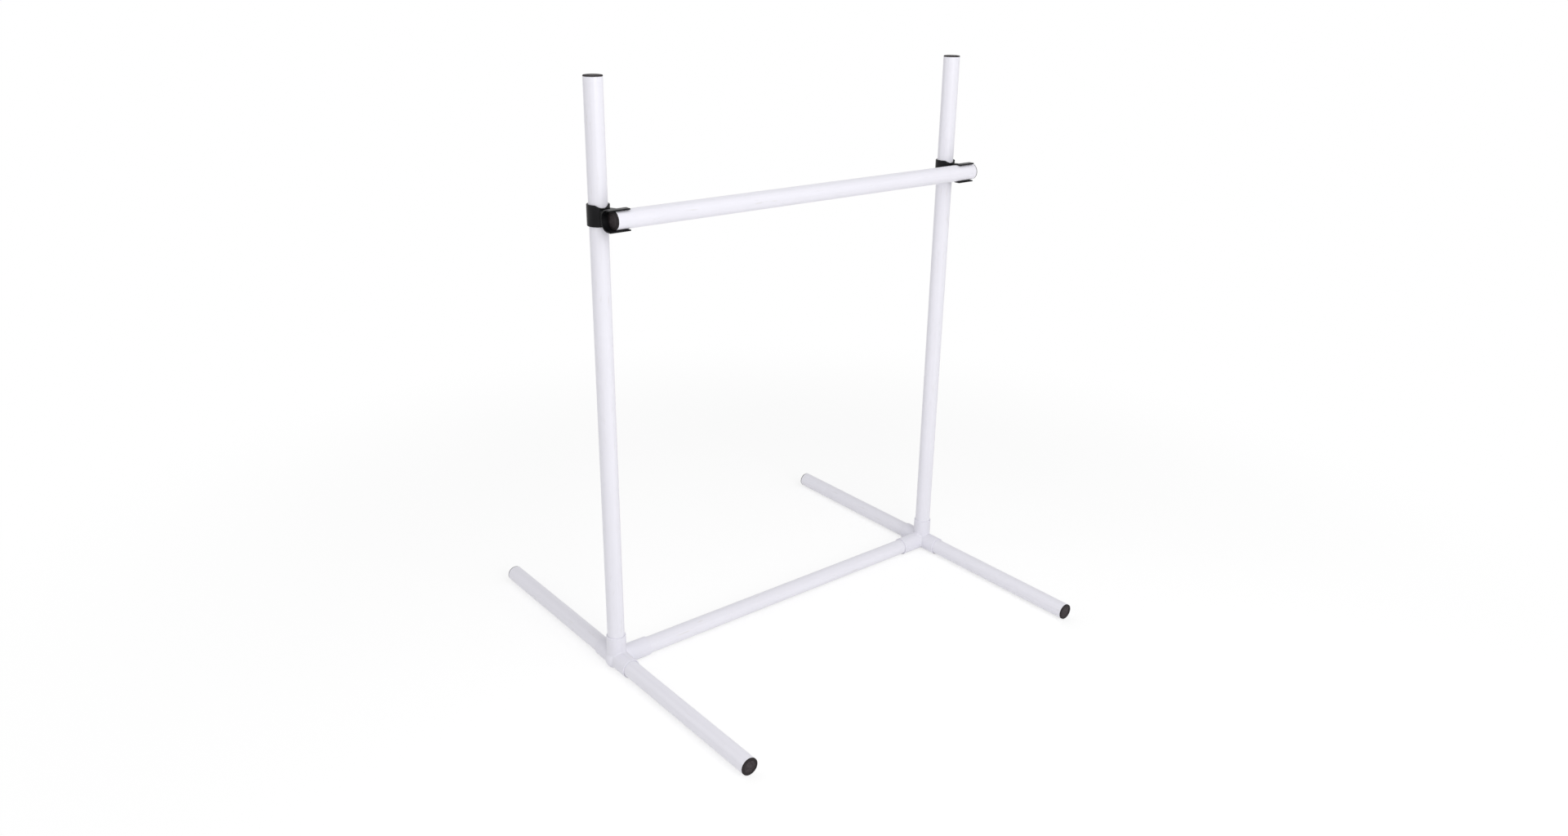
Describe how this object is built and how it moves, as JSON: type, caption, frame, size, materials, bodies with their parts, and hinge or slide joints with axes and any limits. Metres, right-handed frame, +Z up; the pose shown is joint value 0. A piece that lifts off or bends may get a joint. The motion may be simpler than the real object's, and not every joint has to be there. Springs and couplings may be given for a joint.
{
  "type": "agility hurdle",
  "caption": "Free-standing jump hurdle of push-fit plastic tube, with long feet, a cross tube and a light bar resting in open clips that slide up and down the uprights.",
  "frame": {"origin": "on the floor, midway between the axes of the two uprights", "axes": "+Z up; +X along the bar, from the left upright to the right one; -Y towards the side that carries the bar"},
  "size_m": [0.757, 0.72, 0.941],
  "materials": {
    "white_tube": "semi-gloss extruded white plastic tube",
    "white_fitting": "semi-gloss moulded white plastic",
    "black_clip": "satin black moulded plastic",
    "black_cap": "matt black soft plastic"
  },
  "bodies": {
    "cross_tube": {"cross_tube": "white_tube"},
    "left_connector": {"left_base_connector": "white_fitting"},
    "left_upright": {"left_upright": "white_tube", "left_upright_cap": "black_cap"},
    "left_clip": {"left_bar_clip": "black_clip"},
    "left_front_foot": {"left_front_foot": "white_tube", "left_front_foot_cap": "black_cap"},
    "left_back_foot": {"left_back_foot": "white_tube", "left_back_foot_cap": "black_cap"},
    "right_connector": {"right_base_connector": "white_fitting"},
    "right_upright": {"right_upright": "white_tube", "right_upright_cap": "black_cap"},
    "right_clip": {"right_bar_clip": "black_clip"},
    "right_front_foot": {"right_front_foot": "white_tube", "right_front_foot_cap": "black_cap"},
    "right_back_foot": {"right_back_foot": "white_tube", "right_back_foot_cap": "black_cap"},
    "bar": {"jump_bar": "white_tube", "left_bar_cap": "black_cap", "right_bar_cap": "black_cap"}
  },
  "joints": [
    {"name": "left_base_pull", "type": "slide", "parent": "cross_tube", "child": "left_connector", "axis": [-1, 0, 0], "range_m": [0, 0.055]},
    {"name": "left_upright_lift", "type": "slide", "parent": "left_connector", "child": "left_upright", "axis": [0, 0, 1], "range_m": [0, 0.04]},
    {"name": "left_clip_height", "type": "slide", "parent": "left_upright", "child": "left_clip", "axis": [0, 0, 1], "range_m": [-0.665, 0.17]},
    {"name": "left_front_foot_pull", "type": "slide", "parent": "left_connector", "child": "left_front_foot", "axis": [0, -1, 0], "range_m": [0, 0.04]},
    {"name": "left_back_foot_pull", "type": "slide", "parent": "left_connector", "child": "left_back_foot", "axis": [0, 1, 0], "range_m": [0, 0.04]},
    {"name": "right_base_pull", "type": "slide", "parent": "cross_tube", "child": "right_connector", "axis": [1, 0, 0], "range_m": [0, 0.055]},
    {"name": "right_upright_lift", "type": "slide", "parent": "right_connector", "child": "right_upright", "axis": [0, 0, 1], "range_m": [0, 0.04]},
    {"name": "right_clip_height", "type": "slide", "parent": "right_upright", "child": "right_clip", "axis": [0, 0, 1], "range_m": [-0.665, 0.17]},
    {"name": "right_front_foot_pull", "type": "slide", "parent": "right_connector", "child": "right_front_foot", "axis": [0, -1, 0], "range_m": [0, 0.04]},
    {"name": "right_back_foot_pull", "type": "slide", "parent": "right_connector", "child": "right_back_foot", "axis": [0, 1, 0], "range_m": [0, 0.04]},
    {"name": "bar_release", "type": "slide", "parent": "left_clip", "child": "bar", "axis": [0, -1, 0], "range_m": [0, 0.08]}
  ],
  "couplings": [
    {"joint": "right_clip_height", "follows": "left_clip_height", "ratio": 1},
    {"joint": "right_upright_lift", "follows": "left_upright_lift", "ratio": 1}
  ]
}
